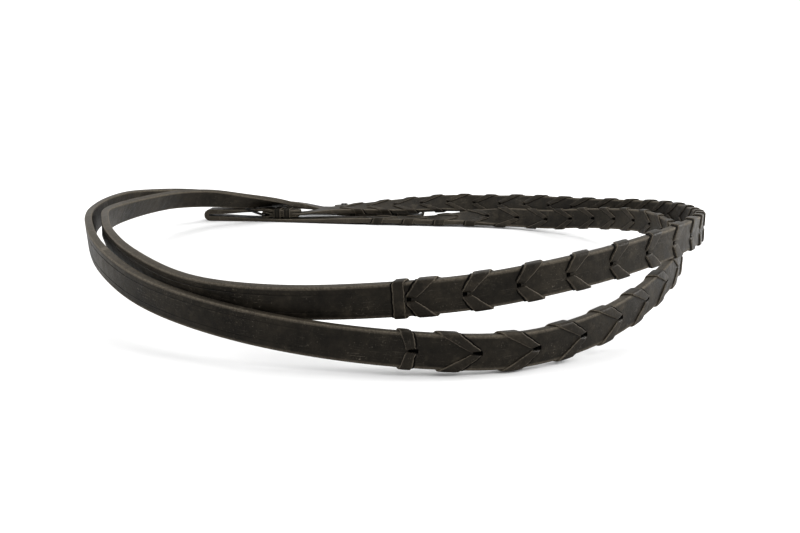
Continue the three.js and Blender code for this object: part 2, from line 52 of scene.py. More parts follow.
# ---- sizes, the same as in the solids but for the slots and the laces ---------
STRAP_W = 16 * MM
STRAP_T = 4.2 * MM
BIT_T = 2.4 * MM
HAND_T = 2.6 * MM
TIP_T = 2.4 * MM
CHAPE_T = 1.6 * MM
# The laced lengths: the first slot from the bit end and the distance between
# slots, in mm, and the number of slots.
NEAR_FIRST, NEAR_PITCH, NEAR_SLOTS = 753.0, 27.9, 24
FAR_FIRST, FAR_PITCH, FAR_SLOTS = 704.5, 24.7, 29
# How far a slot reaches back from its place, in mm.
SLOT_BACK = 1.6

# Route of each rein from its bit end: x, y, z of the strap's middle line in
# metres, and the lean of its top edge away from the loop's middle in degrees.
NEAR_ROUTE = [
    (0.0129, 0.2336, 0.0049, -90), (-0.0221, 0.2346, 0.0049, -90), (-0.0571, 0.2341, 0.0056, -88),
    (-0.0891, 0.2306, 0.0078, -80), (-0.1241, 0.2161, 0.0135, -62),
    (-0.1571, 0.1971, 0.0208, -47), (-0.1841, 0.1716, 0.025, -29), (-0.2021, 0.1341, 0.0285, -15),
    (-0.2081, 0.0901, 0.032, -8), (-0.2066, 0.0391, 0.0335, -2), (-0.1971, -0.0139, 0.035, 2),
    (-0.1821, -0.0639, 0.038, 4), (-0.1651, -0.1119, 0.0395, 4), (-0.1431, -0.1594, 0.036, 4),
    (-0.1131, -0.1944, 0.0275, 4), (-0.0731, -0.2189, 0.0205, 3), (-0.0271, -0.2324, 0.0145, 1),
    (0.0229, -0.2399, 0.0112, 0), (0.0659, -0.2334, 0.0094, 0), (0.1029, -0.2104, 0.012, 0),
    (0.1319, -0.1819, 0.0175, 0), (0.1559, -0.1489, 0.024, 0), (0.1729, -0.1134, 0.0265, 0),
    (0.1849, -0.0734, 0.028, 0), (0.1929, -0.0289, 0.028, 0), (0.1919, 0.0161, 0.027, 0),
    (0.1819, 0.0561, 0.023, 0), (0.1634, 0.0981, 0.017, 0), (0.1399, 0.1306, 0.011, 4),
    (0.1109, 0.1486, 0.0098, 20), (0.0779, 0.1606, 0.0078, 58), (0.0379, 0.1676, 0.0046, 84),
    (-0.0071, 0.1741, 0.004, 90), (-0.0491, 0.1811, 0.0029, 90), (-0.0871, 0.1886, 0.0017, 90),
    (-0.1131, 0.1936, 0.0016, 90),
]
FAR_ROUTE = [
    (0.0229, 0.2146, 0.0049, -90), (-0.0071, 0.2151, 0.0049, -90), (-0.0371, 0.2151, 0.0055, -90),
    (-0.0621, 0.2141, 0.0083, -90), (-0.0791, 0.2124, 0.0118, -88), (-0.0931, 0.206, 0.0143, -85),
    (-0.1081, 0.1942, 0.0172, -66), (-0.1301, 0.1772, 0.0206, -43), (-0.1551, 0.1551, 0.026, -24),
    (-0.1741, 0.1231, 0.0294, -27), (-0.1811, 0.0831, 0.032, -28), (-0.1856, 0.0381, 0.034, -25),
    (-0.1851, -0.0089, 0.036, -19), (-0.1761, -0.0539, 0.0385, -6), (-0.1608, -0.0969, 0.0402, 3),
    (-0.1451, -0.1349, 0.0398, 10), (-0.1211, -0.1737, 0.0359, 14),
    (-0.0864, -0.2062, 0.0299, 14), (-0.0449, -0.2238, 0.029, 13), (-0.0029, -0.2285, 0.0305, 6),
    (0.0443, -0.2271, 0.0341, 0), (0.0865, -0.2159, 0.0395, 0), (0.1215, -0.197, 0.0438, 0),
    (0.1481, -0.1739, 0.0466, 0), (0.1699, -0.1429, 0.0465, 0), (0.1889, -0.1009, 0.043, 0),
    (0.2019, -0.0539, 0.0385, 0), (0.2079, -0.0089, 0.0355, 0), (0.2034, 0.0421, 0.031, 0),
    (0.1874, 0.0831, 0.0265, 0), (0.1619, 0.1191, 0.023, 2), (0.1309, 0.1511, 0.021, 6),
    (0.0969, 0.1731, 0.0183, 18), (0.0579, 0.1856, 0.0175, 38), (0.0179, 0.1906, 0.0143, 52),
    (-0.0271, 0.1923, 0.0114, 77), (-0.0571, 0.1924, 0.0095, 88),
]

# The hand-end joint runs along one straight line.
JOIN = np.array([-0.1691, 0.1988, 0.0])
TURN = math.radians(-4)
ALONG = np.array([math.cos(TURN), math.sin(TURN), 0.0])
ACROSS = np.array([-math.sin(TURN), math.cos(TURN), 0.0])
UP = np.array([0.0, 0.0, 1.0])

# From here on sizes are in mm. Paths on the joint give the distance along it and
# the height above the floor.
FOLD_R = 3.15
GAP = 0.3
BAR_X, BAR_Z, BAR_R = 57.0, 6.3, 1.2
FRAME_X, FRAME_Z, WIRE_R, FRAME_Y = 40.0, 12.1, 1.1, 9.9
PRONG_R = 0.9
WRAP_R = BAR_R + GAP + 0.8
HAND_PATH = [(43, 1.7), (32, 1.85), (20, 2.2), (12, 2.25), (5.2, 2.25)]
TIP_PATH = [
    (5.2, 8.55), (14, 8.55), (24, 8.7), (32, 9.1), (40, 9.5), (47, 9.9), (52, 10.5),
    (57, 10.9), (61, 10.5), (66, 9.6), (70, 9.5), (80, 9.5), (90, 9.5),
]
CHAPE_PATH = [
    (100, 8.4), (92, 7.1), (84, 7), (74, 7), (66, 7), (63, 7.2), (60, 8),
    (57, BAR_Z + WRAP_R),
]
TURN_PATH = [(57, BAR_Z - WRAP_R), (60, 4.4), (64, 5.1), (76, 5.1), (88, 5.1)]
BILLET_T = 2.0
BILLET_N = 1.2 + GAP + BILLET_T / 2
# Distance along the rein, and out of its outer face.
BILLET_PATH = [
    (70, -BILLET_N), (40, -BILLET_N), (8, -BILLET_N), (0, -2.7), (-5, -3.3),
    (-9, -3.4), (-11.4, -2.4), (-12.4, 0), (-11.4, 2.4), (-9, 3.4), (-5, 3.3),
    (0, 2.7), (8, BILLET_N), (40, BILLET_N), (64, BILLET_N),
]
STUD_S = 38.0
BIT_KEEPERS = (15.0, 55.0)
KEEPER_T, KEEPER_LEN, KEEPER_HALF_W = 0.8, 6.0, 8.3
STUD_HOLE_R, BUCKLE_HOLE_R = 1.5, 1.6
STITCH_PITCH = 2.6
# Lengths of the two straps in metres, measured along their routes.
NEAR_LENGTH, FAR_LENGTH = 1.638, 1.507

# Points between two route or tail points, and how the long bends are eased:
# over this many points each way, leaving this many as they are at each end.
ROUTE_STEPS, TAIL_STEPS = 24, 8
EASE_REACH, EASE_KEEP = 13, 96
# Corners sharper than this, in degrees, are shaded as sharp.
SHARP_ANGLE = 48


# ---- curves and frames ----------------------------------------------------------
def smooth(points, per_span):
    """Points on a smooth curve through the given ones."""
    a = np.array(points, float)
    a = np.vstack([2 * a[0] - a[1], a, 2 * a[-1] - a[-2]])
    out = []
    for i in range(len(a) - 3):
        p0, p1, p2, p3 = a[i:i + 4]
        for t in np.arange(per_span) / per_span:
            out.append(0.5 * (2 * p1 + (p2 - p0) * t
                              + (2 * p0 - 5 * p1 + 4 * p2 - p3) * t * t
                              + (3 * p1 - p0 - 3 * p2 + p3) * t ** 3))
    out.append(a[-2])
    return np.array(out)


def on_join(x, y, z):
    """A point along, across and above the joint line, in millimetres."""
    x, y, z = (np.asarray(v, float)[..., None] * MM for v in (x, y, z))
    return JOIN + ALONG * x + ACROSS * y + UP * z


def arc(cx, cz, radius, start, end, parts):
    """Points on an arc, without its two end points; the angles are in degrees."""
    turns = np.radians(start + (end - start) * np.arange(1, parts) / parts)
    return [(cx + radius * math.cos(a), cz + radius * math.sin(a)) for a in turns]


def unit(v):
    """The same directions, each with a length of one."""
    return v / np.linalg.norm(v, axis=-1, keepdims=True)


def ease(rows, reach, keep):
    """The same curve with its bends eased, except near the two ends."""
    weight = np.hanning(2 * reach + 1)
    weight = (weight / weight.sum())[:, None]
    soft = rows.copy()
    for i in range(keep, len(rows) - keep):
        blend = min(1.0, (i - keep) / 24, (len(rows) - keep - i) / 24)
        mean = (rows[i - reach:i + reach + 1] * weight).sum(0)
        soft[i] = rows[i] * (1 - blend) + mean * blend
    return soft


class Rein:
    """Frames along a strap: s along it, w across it, n out of its outer face."""

    def __init__(self, route, tail):
        body = ease(smooth(route, ROUTE_STEPS), EASE_REACH, EASE_KEEP)
        tail = smooth(tail, TAIL_STEPS)
        extra = on_join(tail[:, 0], 0 * tail[:, 0], tail[:, 1])
        p = np.vstack([body[:, :3], extra])
        t = np.empty_like(p)
        t[1:-1] = p[2:] - p[:-2]
        t[0], t[-1] = p[1] - p[0], p[-1] - p[-2]
        t = unit(t)
        w = np.tile(ACROSS, (len(p), 1))
        k = len(body)
        out = unit(np.stack([t[:k, 1], -t[:k, 0], 0 * t[:k, 0]], 1))
        up = unit(np.cross(out, t[:k]))
        lean = np.radians(body[:, 3])[:, None]
        w[:k] = up * np.cos(lean) + out * np.sin(lean)
        w = unit(w - t * np.sum(w * t, 1, keepdims=True))
        self.p, self.t, self.w, self.n = p, t, w, np.cross(t, w)
        step = np.linalg.norm(np.diff(p, axis=0), axis=1)
        self.s = np.concatenate([[0], np.cumsum(step)])
        self.join_at = self.s[k - 1]
        self.end = self.s[-1]

    def _mix(self, table, s):
        return np.stack([np.interp(s, self.s, table[:, i]) for i in range(3)], -1)

    def at(self, s, w, n):
        s, w, n = np.broadcast_arrays(*(np.asarray(v, float) for v in (s, w, n)))
        p = self._mix(self.p, s)
        beyond = np.minimum(s, 0) + np.maximum(s - self.end, 0)
        t = self._mix(self.t, s)
        return (p + t * beyond[..., None] + unit(self._mix(self.w, s)) * w[..., None]
                + unit(self._mix(self.n, s)) * n[..., None])


near_tail = HAND_PATH + arc(5.2, 2.25 + FOLD_R, FOLD_R, 270, 90, 8) + TIP_PATH
far_tail = CHAPE_PATH + arc(BAR_X, BAR_Z, WRAP_R, 90, 270, 6) + TURN_PATH
near = Rein(NEAR_ROUTE, near_tail)
far = Rein(FAR_ROUTE, far_tail)


def look(table, s):
    """The value at s in a table of (distance, value) rows."""
    return np.interp(s, [r[0] for r in table], [r[1] for r in table])


near_thick = [
    (78 * MM, BIT_T), (110 * MM, STRAP_T), (near.join_at - 76 * MM, STRAP_T),
    (near.join_at - 45 * MM, HAND_T), (near.join_at + 8 * MM, HAND_T),
    (near.join_at + 36 * MM, STRAP_T), (near.end - 75 * MM, STRAP_T),
    (near.end - 53 * MM, TIP_T),
]
near_width = [
    (near.end - 11 * MM, STRAP_W), (near.end - 8 * MM, 14.8 * MM),
    (near.end - 5 * MM, 12.2 * MM), (near.end - 2.5 * MM, 8.6 * MM),
    (near.end - 1 * MM, 5.6 * MM), (near.end, 2.6 * MM),
]
far_thick = [
    (78 * MM, BIT_T), (110 * MM, STRAP_T), (far.join_at - 8 * MM, STRAP_T),
    (far.join_at + 13 * MM, CHAPE_T),
]
far_width = [(0, STRAP_W), (far.end - 30 * MM, STRAP_W - 0.4 * MM)]


# ---- mesh helpers -----------------------------------------------------------------
def add_mesh(name, verts, faces, material, body="reins"):
    """One mesh piece with its material, riding its body."""
    mesh = bpy.data.meshes.new(name)
    mesh.from_pydata([tuple(v) for v in verts], [], [tuple(f) for f in faces])
    mesh.validate()
    shell = bmesh.new()
    shell.from_mesh(mesh)
    bmesh.ops.recalc_face_normals(shell, faces=shell.faces)
    shell.to_mesh(mesh)
    shell.free()
    obj = bpy.data.objects.new(name, mesh)
    bpy.context.scene.collection.objects.link(obj)
    mesh.materials.append(material)
    mesh.polygons.foreach_set("use_smooth", [True] * len(mesh.polygons))
    mesh.set_sharp_from_angle(angle=math.radians(SHARP_ANGLE))
    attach(obj, body)
    return obj


def add_value(obj, name, values):
    """A number on every mesh point, for the material to read."""
    layer = obj.data.attributes.new(name, "FLOAT", "POINT")
    layer.data.foreach_set("value", np.asarray(values, np.float32))


def loft(loops, closed_path=False, cap=True):
    """Faces joining closed loops of equal size; loops is (rings, points, 3)."""
    rings, count = loops.shape[:2]
    faces = []
    last = rings if closed_path else rings - 1
    for j in range(last):
        k = (j + 1) % rings
        for i in range(count):
            m = (i + 1) % count
            faces.append((j * count + i, j * count + m, k * count + m, k * count + i))
    if cap and not closed_path:
        faces.append(tuple(range(count))[::-1])
        faces.append(tuple((rings - 1) * count + i for i in range(count)))
    return faces


# No two stations are closer than this, in mm, unless both are marks.
CLOSEST = 0.3
# Rows across a 16 mm strap, in mm from its middle line.
FACE_ROWS = (0, 1.0, 2.1, 2.9, 3.6, 3.95, 4.25, 4.55, 4.9, 5.6, 6.3, 6.7, 7.0)
CREASE = 4.25
CUT_HALF = 2.1


def station_list(spans, marks, closed_gaps):
    """Stations along a strip, at every mark and at no place inside a gap."""
    plain = set()
    for a, b, step in spans:
        count = max(1, round((b - a) / step))
        plain |= {a + (b - a) * i / count for i in range(count + 1)}
    out = []
    for g in sorted(plain | set(marks)):
        if any(a + 1e-7 < g < b - 1e-7 for a, b in closed_gaps):
            continue
        if out and g - out[-1] < CLOSEST * MM:
            if g in marks and out[-1] not in marks:
                out[-1] = g
            elif g not in marks:
                continue
            elif g - out[-1] > 1e-6:
                out.append(g)
            continue
        out.append(g)
    return np.array(out)


def strip(name, place, spans, width, thick, material, slots=(), rounds=(),
          crease_shade=(0, 0, 0, 0), depth=0.34, corner=0.75):
    """A leather strip with rounded edges, a creased line, slots and punched holes.

    slots are (start, end, half width in mm, depth in mm or None when it goes
    through), rounds are (middle, radius), and the four crease places are where
    the creased line and its painted shade start, are full, begin to fade and
    end. Sunk slot floors and hole rims carry painted shade too.
    """
    cut = CUT_HALF * MM
    marks = {spans[0][0], spans[-1][1]}
    for a, b, _, _ in slots:
        marks |= {a, b}
    gaps = []
    for s0, _ in rounds:
        marks |= {s0 - cut, s0 + cut}
        gaps.append((s0 - cut, s0 + cut))
    s = station_list(spans, marks, gaps)
    half = look(width, s) / 2
    deep = look(thick, s) / 2
    narrow = half / half.max()
    widest = half.max() / (STRAP_W / 2)
    rows = [-r for r in FACE_ROWS[:0:-1]] + list(FACE_ROWS)
    r = np.minimum(corner * MM, np.minimum(deep * 0.6, half * 0.5))
    fade = np.interp(s, crease_shade, (0, 1, 1, 0)) if crease_shade[3] > crease_shade[0] else 0 * s
    line, edge_wear_and_highlight, dark = [], [], []
    for side in (1, -1):
        for row in (rows if side > 0 else rows[::-1]):
            at = row * MM * (narrow if abs(row) <= 3 or widest == 1 else narrow * widest)
            at = np.clip(at, -(half - r), half - r)
            dip = 0 * s
            if side > 0 and abs(abs(row) - CREASE) < 0.1:
                dip = depth * MM * fade
            elif side > 0 and abs(row) == 6.7:
                dip = 0.3 * depth * MM * fade
            line.append(np.stack([at, side * (deep - dip)], 1))
            # face rows near the edge grow pale, partly wear and partly painted highlight; the
            # crease groove gets painted shade as dark as it is deep
            edge_wear_and_highlight.append(np.clip((abs(row) - 6.5) / 0.8, 0, 1) + 0 * s)
            dark.append(dip / (depth * MM))
        # round the edge the leather is paler from wear, palest at the corners where a painted
        # highlight runs along the arris
        turns = np.radians([15, 40, 65, 90])
        rim = [(a, side) for a in turns] + [(a, -side) for a in turns[::-1]]
        for k, (a, face) in enumerate(rim):
            if k == 4:
                line.append(np.stack([side * half, 0 * s], 1))
                edge_wear_and_highlight.append(0.35 + 0 * s)
                dark.append(0 * s)
            at = side * (half - r + r * math.sin(a))
            line.append(np.stack([at, face * (deep - r + r * math.cos(a))], 1))
            edge_wear_and_highlight.append(np.interp(a, (0.3, 0.7, 1.2, 1.57), (0.8, 1, 0.7, 0.4)) + 0 * s)
            dark.append(0 * s)
    wn = np.stack(line, 1)
    edge_wear_and_highlight = np.stack(edge_wear_and_highlight, 1)
    dark = np.stack(dark, 1)
    count = wn.shape[1]
    half_count = count // 2
    verts = place(np.repeat(s[:, None], count, 1), wn[..., 0], wn[..., 1]).reshape(-1, 3)
    edge_wear_and_highlight, dark = list(edge_wear_and_highlight.ravel()), list(dark.ravel())
    along = list(np.repeat(s, count))
    across = list(wn[..., 0].ravel())
    more = []
    last = len(s) - 1
    cells = {}
    for a, b, reach, sunk in slots:
        for j in range(last):
            if s[j] >= a - 1e-7 and s[j + 1] <= b + 1e-7:
                cells[j] = ("slot", reach, sunk)
    for s0, radius in rounds:
        cells[int(np.argmin(abs(s - (s0 - cut))))] = (s0, CUT_HALF, radius)
    faces = []
    for j in range(last):
        low, high = j * count, (j + 1) * count
        hole = cells.get(j)
        reach = hole[1] if hole else 0
        inside = [i for i, row in enumerate(rows) if abs(row) <= reach + 0.01]
        back = [half_count + len(rows) - 1 - i for i in inside]
        open_front, open_back = set(inside[:-1]), set(back[1:])
        for i in range(count):
            if hole is not None and (i in open_front or i in open_back):
                continue
            m = (i + 1) % count
            faces.append((low + i, low + m, high + m, high + i))
        if hole is None:
            continue
        # A sunk slot's floor is painted near black, as painted shade in the recess.
        if hole[0] == "slot" and hole[2] is not None:
            sunk = hole[2] * MM
            for face, cols in ((1, inside), (-1, back)):
                first = len(verts) + len(more)
                for c in (j, j + 1):
                    for i in cols:
                        w, n = wn[c, i]
                        more.append(place(s[c], w, n - face * sunk))
                        edge_wear_and_highlight.append(0)
                        dark.append(1)
                        along.append(s[c])
                        across.append(w)
                m = len(cols)
                for k in range(m - 1):
                    faces.append((first + k, first + k + 1, first + m + k + 1, first + m + k))
                    faces.append((low + cols[k], low + cols[k + 1], first + k + 1, first + k))
                    faces.append((high + cols[k], high + cols[k + 1], first + m + k + 1,
                                  first + m + k))
                for k in (0, m - 1):
                    faces.append((low + cols[k], high + cols[k], first + m + k, first + k))
            continue
        if hole[0] == "slot":
            for k in (0, -1):
                faces.append((low + inside[k], high + inside[k], high + back[k], low + back[k]))
            for base, there in ((low, cells.get(j - 1)), (high, cells.get(j + 1))):
                if there is not None:
                    continue
                for k in range(len(inside) - 1):
                    faces.append((base + inside[k], base + inside[k + 1],
                                  base + back[k + 1], base + back[k]))
            continue
        s0, _, radius = hole
        parts = 16
        turns = np.arange(parts) * 2 * math.pi / parts + math.radians(225)
        rims = []
        for face in (1, -1):
            n = face * deep[j]
            first = len(verts) + len(more)
            for a in turns:
                more.append(place(s0 + radius * math.cos(a), radius * math.sin(a), n))
                # the hole's rim: paler from wear, with painted shade round it
                edge_wear_and_highlight.append(0.55)
                dark.append(0.4)
                along.append(s0 + radius * math.cos(a))
                across.append(radius * math.sin(a))
            rims.append([first + q for q in range(parts)])
        for rim, cols in ((rims[0], inside), (rims[1], back)):
            for k in range(4):
                # the end nearer the high stations, from -w to +w
                faces.append((high + cols[k], high + cols[k + 1], rim[5 + k], rim[4 + k]))
                faces.append((low + cols[k], low + cols[k + 1], rim[(15 - k) % 16],
                              rim[(16 - k) % 16]))
            faces.append((low + cols[0], high + cols[0], rim[4], rim[3], rim[2], rim[1], rim[0]))
            faces.append((low + cols[4], high + cols[4], rim[8], rim[9], rim[10], rim[11],
                          rim[12]))
        for q in range(parts):
            p = (q + 1) % parts
            faces.append((rims[0][q], rims[0][p], rims[1][p], rims[1][q]))
    faces.append(tuple(range(count))[::-1])
    faces.append(tuple(last * count + i for i in range(count)))
    if more:
        verts = np.vstack([verts, np.array(more).reshape(-1, 3)])
    obj = add_mesh(name, verts, faces, material)
    add_value(obj, "edge_wear_and_highlight", edge_wear_and_highlight)
    add_value(obj, "crease_shade", dark)
    add_value(obj, "along", along)
    add_value(obj, "across", across)
    return obj


# ---- the laces --------------------------------------------------------------------
# A lace lies close on the leather: its middle is FACE from the strap's middle
# on the faces and EDGE from it at the edges, and it is 2 * HALF thick, in mm.
FACE = 2.1 + 0.1 + 0.4
EDGE = 8 + 0.1 + 0.4
HALF = 0.4
# Where it crosses the edge after a slot, in mm: its two borders on the back face,
# then on the front face. A lace that is turned over has the faces the other way.
NEAR_CROSS = (9.5, 18.6, 11.9, 20.8)
FAR_CROSS = (2.7, 11.2, 5.2, 13.6)


def through_slot(s, side):
    """The lace inside one slot: two borders and the way it faces, for each section."""
    return [
        ((s - 1.9, 0.95 * side, 1.7), (s + 2.2, 0.95 * side, 1.7), (0, -0.35 * side, 0.2)),
        ((s - 1.9, 0.95 * side, -1.7), (s + 2.2, 0.95 * side, -1.7), (0, -0.35 * side, -0.2)),
    ]


def over_edge(s, k, pitch, cross):
    """The lace from one slot over the strap's edge to the next slot."""
    a, b, c, d = (s + v for v in cross)
    ahead = s + pitch
    return [
        ((s - 1.6, 1.9 * k, -FACE), (s + 2.0, 0.3 * k, -FACE), (0, 0, -HALF)),
        ((a, 8 * k, -FACE), (b, 8 * k, -FACE), (0, 0.2 * k, -HALF)),
        ((a + 0.4, EDGE * k, -2.2), (b + 0.4, EDGE * k, -2.2), (0, HALF * k, -0.2)),
        ((c - 0.4, EDGE * k, 2.2), (d - 0.4, EDGE * k, 2.2), (0, HALF * k, 0.2)),
        ((c, 8 * k, FACE), (d, 8 * k, FACE), (0, 0.2 * k, HALF)),
        ((ahead - 2.4, 0.3 * k, FACE), (ahead + 1.3, 1.6 * k, FACE), (0, 0, HALF)),
    ]


def lead_in(s, k):
    """The lace from its band over the strap's edge to the first slot."""
    return [
        ((s - 7.6, 8 * k, -FACE), (s - 2.6, 8 * k, -FACE), (0, 0.2 * k, -HALF)),
        ((s - 7.4, EDGE * k, -2.2), (s - 2.4, EDGE * k, -2.2), (0, HALF * k, -0.2)),
        ((s - 5.4, EDGE * k, 2.2), (s - 0.2, EDGE * k, 2.2), (0, HALF * k, 0.2)),
        ((s - 5.2, 8 * k, FACE), (s + 0.2, 8 * k, FACE), (0, 0.2 * k, HALF)),
        ((s - 2.4, 0.3 * k, FACE), (s + 1.3, 1.6 * k, FACE), (0, 0, HALF)),
    ]


def half_lace(first, pitch, slots, side, cross):
    """The half of a lace that works one edge, from the band to the last slot."""
    out = lead_in(first, side)
    for i in range(slots - 1):
        s = first + i * pitch
        out += through_slot(s, side) + over_edge(s, side, pitch, cross)
    last = first + (slots - 1) * pitch
    out.append(through_slot(last, side)[0])
    out.append(((last - 1.9, 0.95 * side, -1), (last + 2.2, 0.95 * side, -1),
                (0, -0.35 * side, 0)))
    return out


def lace(name, rein, first, pitch, slots, cross, flip, shade, material):
    """One lace, from the upper half's end round the band to the lower half's end.

    flip turns it over on its strap; shade is the side of the skirt, a thin sheet
    painted near black as the shadow beside the lace's border.
    """
    upper = half_lace(first, pitch, slots, 1, cross)[::-1]
    lower = half_lace(first, pitch, slots, -1, cross)
    middle = ((first - 7.6, 0, -FACE), (first - 2.6, 0, -FACE), (0, 0, -HALF))
    rings = np.array(upper + [middle] + lower, float)
    mid = (rings[:, 0] + rings[:, 1]) / 2
    run = np.concatenate([[0], np.cumsum(np.linalg.norm(np.diff(mid, axis=0), axis=1))])
    fine = np.arange(0, run[-1], 0.6)
    flat = rings.reshape(len(rings), 9)
    dense = np.stack([np.interp(fine, run, flat[:, i]) for i in range(9)], 1)
    # a short average along the lace rounds its bends
    weight = np.exp(-0.5 * (np.arange(-3, 4) / 1.15) ** 2)
    weight /= weight.sum()
    padded = np.vstack([dense[:1]] * 3 + [dense] + [dense[-1:]] * 3)
    soft = sum(wt * padded[i:i + len(dense)] for i, wt in enumerate(weight))
    p, q, o = soft[:, 0:3], soft[:, 3:6], unit(soft[:, 6:9]) * HALF
    # Places across the lace, and how thick it is there: its borders are rounded.
    u = np.array([0, 0.03, 0.1, 0.24, 0.4, 0.6, 0.76, 0.9, 0.97, 1.0])
    full = np.array([0.5, 0.86, 1.0, 1.08, 1.12, 1.12, 1.08, 1.0, 0.86, 0.5])
    # the borders are cut a little unevenly
    uneven = 0.12 * np.sin(fine * 0.9)[:, None] + 0.08 * np.sin(fine * 2.3 + 1)[:, None]
    side_way = unit(q - p)
    # Each corner of the section: across, height, and 1 on the skirt, a thin sheet
    # beside one border that is painted near black as the shadow in the gap there.
    section = [(a, f, 0) for a, f in zip(u, full)]
    if shade > 0:
        section += [(1.0, -0.6, 1), (1.18, -0.75, 1), (1.18, -1.0, 1)]
    section += [(a, -min(f, 1.0), 0) for a, f in zip(u[::-1], full[::-1])]
    if shade < 0:
        section += [(-0.18, -1.0, 1), (-0.18, -0.75, 1), (0.0, -0.6, 1)]
    section = np.array(section)
    # the lace's borders are pale: raw cut edge and painted highlight; the skirt gets none
    rim = np.clip((abs(section[:, 0] - 0.5) - 0.41) / 0.07, 0, 1) * (1 - section[:, 2])
    loops = [p + (q - p) * a + o * f + side_way * uneven * (abs(a - 0.5) > 0.4)
             for a, f, _ in section]
    swn = np.stack(loops, 1) * MM
    verts = rein.at(swn[..., 0], swn[..., 1], flip * swn[..., 2]).reshape(-1, 3)
    obj = add_mesh(name, verts, loft(swn), material)
    add_value(obj, "edge_wear_and_highlight", np.tile(rim, len(fine)))
    add_value(obj, "along", np.repeat(fine * MM, len(loops)))
    add_value(obj, "across", np.tile(section[:, 0] * 5 * MM, len(fine)))
    # painted shade: near black on the lace inside the slots and on the skirt
    inner = (np.abs(swn[..., 2]) < 2.1 * MM) & (np.abs(swn[..., 1]) < 4 * MM)
    dark = np.maximum(inner.astype(float), section[:, 2][None, :])
    add_value(obj, "crease_shade", dark.reshape(-1))
    return obj


# ---- tubes, bands and stitches -------------------------------------------------------
def tube_mesh(points, radius, closed=False, sides=16):
    """A round tube along points; radius may be one number or one per point."""
    p = np.asarray(points, float)
    rad = np.broadcast_to(radius, len(p))
    if closed:
        t = unit(np.roll(p, -1, 0) - np.roll(p, 1, 0))
    else:
        t = unit(np.gradient(p, axis=0))
    ref = unit(np.cross(t[0], UP if abs(t[0][2]) < 0.9 else ALONG))
    loops = []
    for i in range(len(p)):
        ref = unit(ref - t[i] * np.dot(ref, t[i]))
        other = np.cross(t[i], ref)
        a = np.arange(sides) * 2 * math.pi / sides
        loops.append(p[i] + rad[i] * (np.cos(a)[:, None] * ref + np.sin(a)[:, None] * other))
    loops = np.array(loops)
    return loops.reshape(-1, 3), loft(loops, closed_path=closed)


def join_parts(parts):
    """Several meshes as one list of points and one of faces."""
    verts, faces, base = [], [], 0
    for v, f in parts:
        verts.append(v)
        faces += [tuple(i + base for i in q) for q in f]
        base += len(v)
    return np.vstack(verts), faces


def band_loop(half_w, low, high, r, steps=6):
    """A rounded rectangle's outline in mm."""
    out = []
    for cx, cy, a0 in ((half_w - r, high - r, 0), (-half_w + r, high - r, 90),
                       (-half_w + r, low + r, 180), (half_w - r, low + r, 270)):
        for a in np.radians(a0 + np.linspace(0, 90, steps)):
            out.append((cx + r * math.cos(a), cy + r * math.sin(a)))
    return np.array(out)


def keeper(name, place, half_w, low, high, body, material):
    """A stitched leather band; place(x, y, z) takes mm along, across and out."""
    t = KEEPER_T
    inner = band_loop(half_w, low, high, 0.5)
    outer = band_loop(half_w + t, low - t, high + t, 1.5)
    h = KEEPER_LEN / 2
    section = [(inner, -h + 0.1), (inner, h - 0.1), (inner * 0.9 + outer * 0.1, h),
               (inner * 0.25 + outer * 0.75, h), (outer * 0.97 + inner * 0.03, h - 0.2),
               (outer, h - 0.6), (outer, h - 1.1), (outer, 0), (outer, -h + 1.1),
               (outer, -h + 0.6), (outer * 0.97 + inner * 0.03, -h + 0.2),
               (inner * 0.25 + outer * 0.75, -h), (inner * 0.9 + outer * 0.1, -h)]
    # the sections of the creased line near each border lie a little deeper
    shrink = {6: 0.92, 8: 0.92}
    rings = []
    for k, (line, x) in enumerate(section):
        pull = shrink.get(k, 1.0)
        line = inner + (line - inner) * pull
        rings.append(place(np.full(len(line), x), line[:, 0], line[:, 1]))
    loops = np.array(rings)
    verts = loops.reshape(-1, 3)
    faces = loft(loops, closed_path=True)
    obj = add_mesh(name, verts, faces, material, body)
    count = len(inner)
    # the band's borders are pale: worn raw edge and painted highlight
    edge_wear_and_highlight = np.repeat([0, 0, 0.8, 1, 0.8, 0.2, 0, 0, 0, 0.2, 0.8, 1, 0.8], count)
    add_value(obj, "edge_wear_and_highlight", edge_wear_and_highlight)
    # the creased lines near the borders carry painted shade
    add_value(obj, "crease_shade", np.repeat([0, 0, 0, 0, 0, 0, 1, 0, 1, 0, 0, 0, 0], count))
    return obj


def stitches(name, place, runs, material, body="reins"):
    """Rows of short thread stitches. Each run is (x0, x1, y, z) in mm."""
    parts = []
    for x0, x1, y, z in runs:
        count = int(abs(x1 - x0) / STITCH_PITCH)
        for i in range(count):
            a = x0 + (x1 - x0) * (i + 0.12) / count
            b = x0 + (x1 - x0) * (i + 0.88) / count
            x = np.linspace(a, b, 7)
            lift = np.sin(np.linspace(0, math.pi, 7))
            tilt = np.linspace(-0.14, 0.14, 7)
            up = math.copysign(1, z)
            pts = place(x, y + tilt, z + up * (0.16 * lift - 0.1))
            v, f = tube_mesh(pts, (0.12 + 0.2 * lift) * MM, sides=6)
            parts.append((v, f))
    verts, faces = join_parts(parts)
    return add_mesh(name, verts, faces, material, body)


